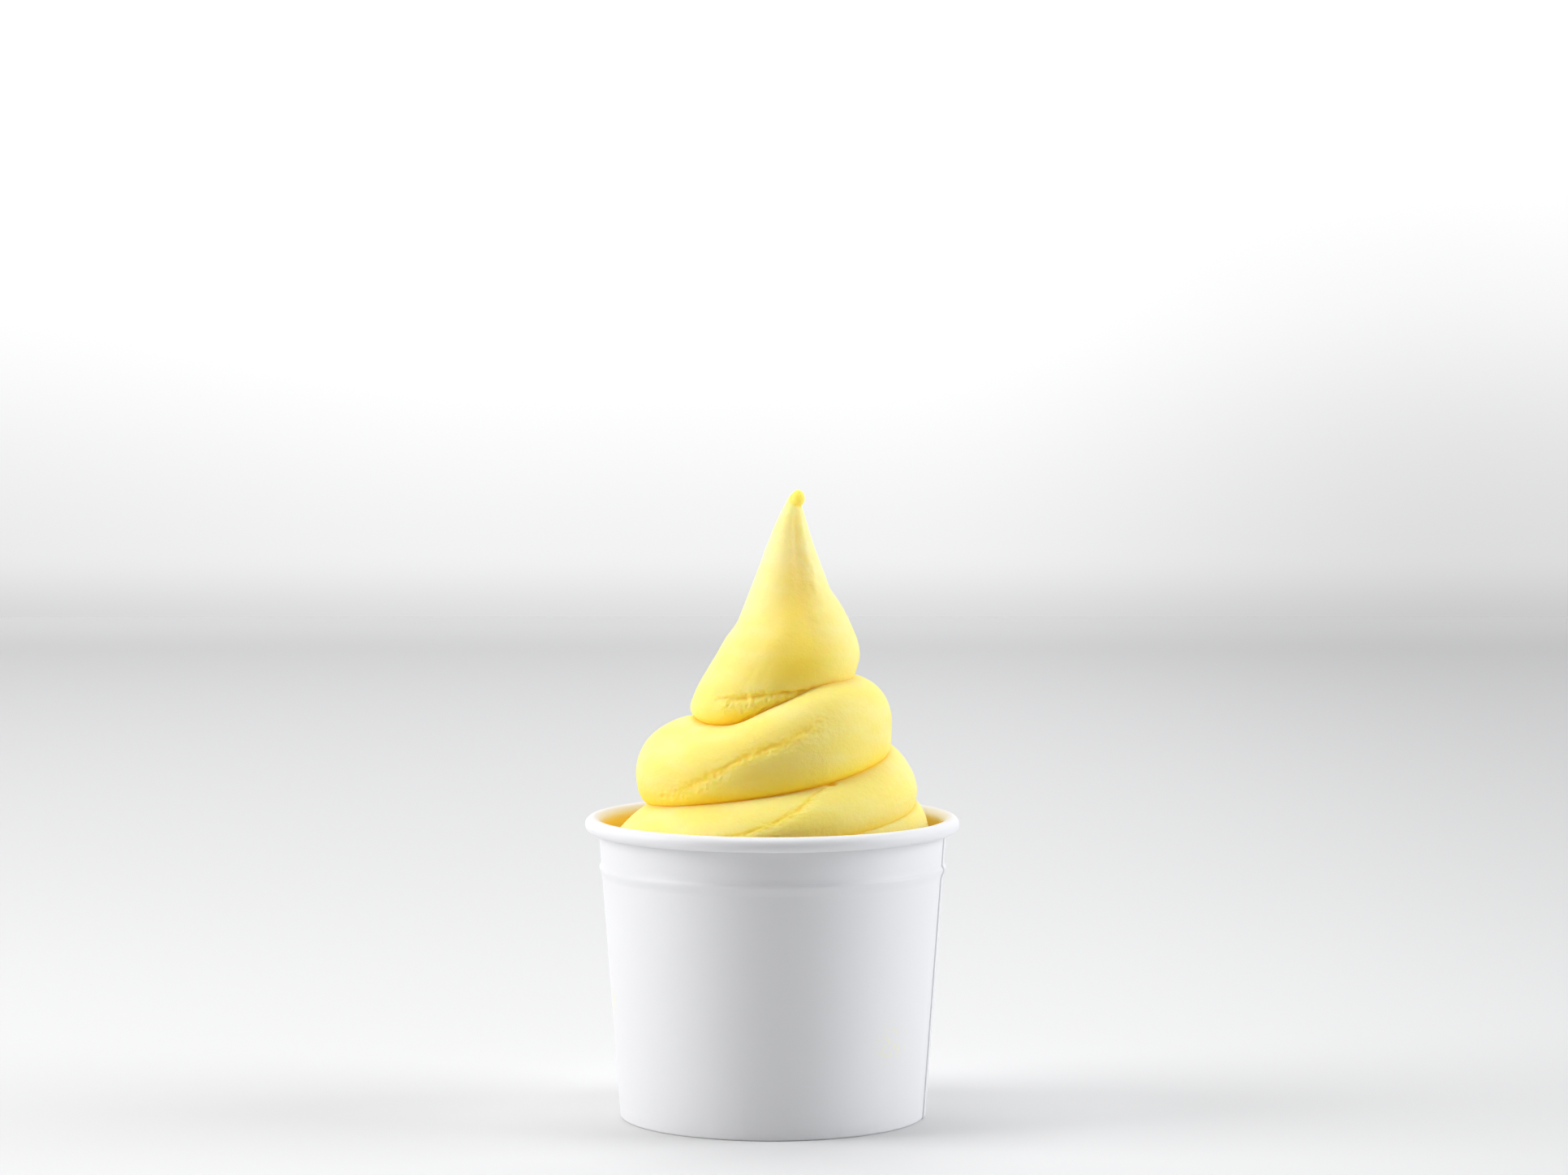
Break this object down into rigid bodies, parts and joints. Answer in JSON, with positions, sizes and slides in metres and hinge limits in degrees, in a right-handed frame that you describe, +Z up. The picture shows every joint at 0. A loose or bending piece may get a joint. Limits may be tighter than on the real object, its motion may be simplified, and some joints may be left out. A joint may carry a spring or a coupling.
{
  "type": "frozen yogurt cup",
  "caption": "Plain white paper dessert cup with a rolled rim, filled with a tall piped swirl of yellow frozen yogurt.",
  "frame": {"origin": "centre of the cup's foot, on the surface it stands on", "axes": "+Z up along the cup's axis, -Y towards the viewer, +X to the viewer's right; the swirl's tip leans towards +X"},
  "size_m": [0.085, 0.085, 0.1426],
  "materials": {
    "cup_paper": "smooth coated white paperboard, soft satin",
    "yogurt": "matte, finely grained, slightly translucent yellow frozen yogurt"
  },
  "bodies": {
    "root": {"cup_sidewall": "cup_paper", "cup_base": "cup_paper", "frozen_yogurt": "yogurt"}
  },
  "joints": []
}
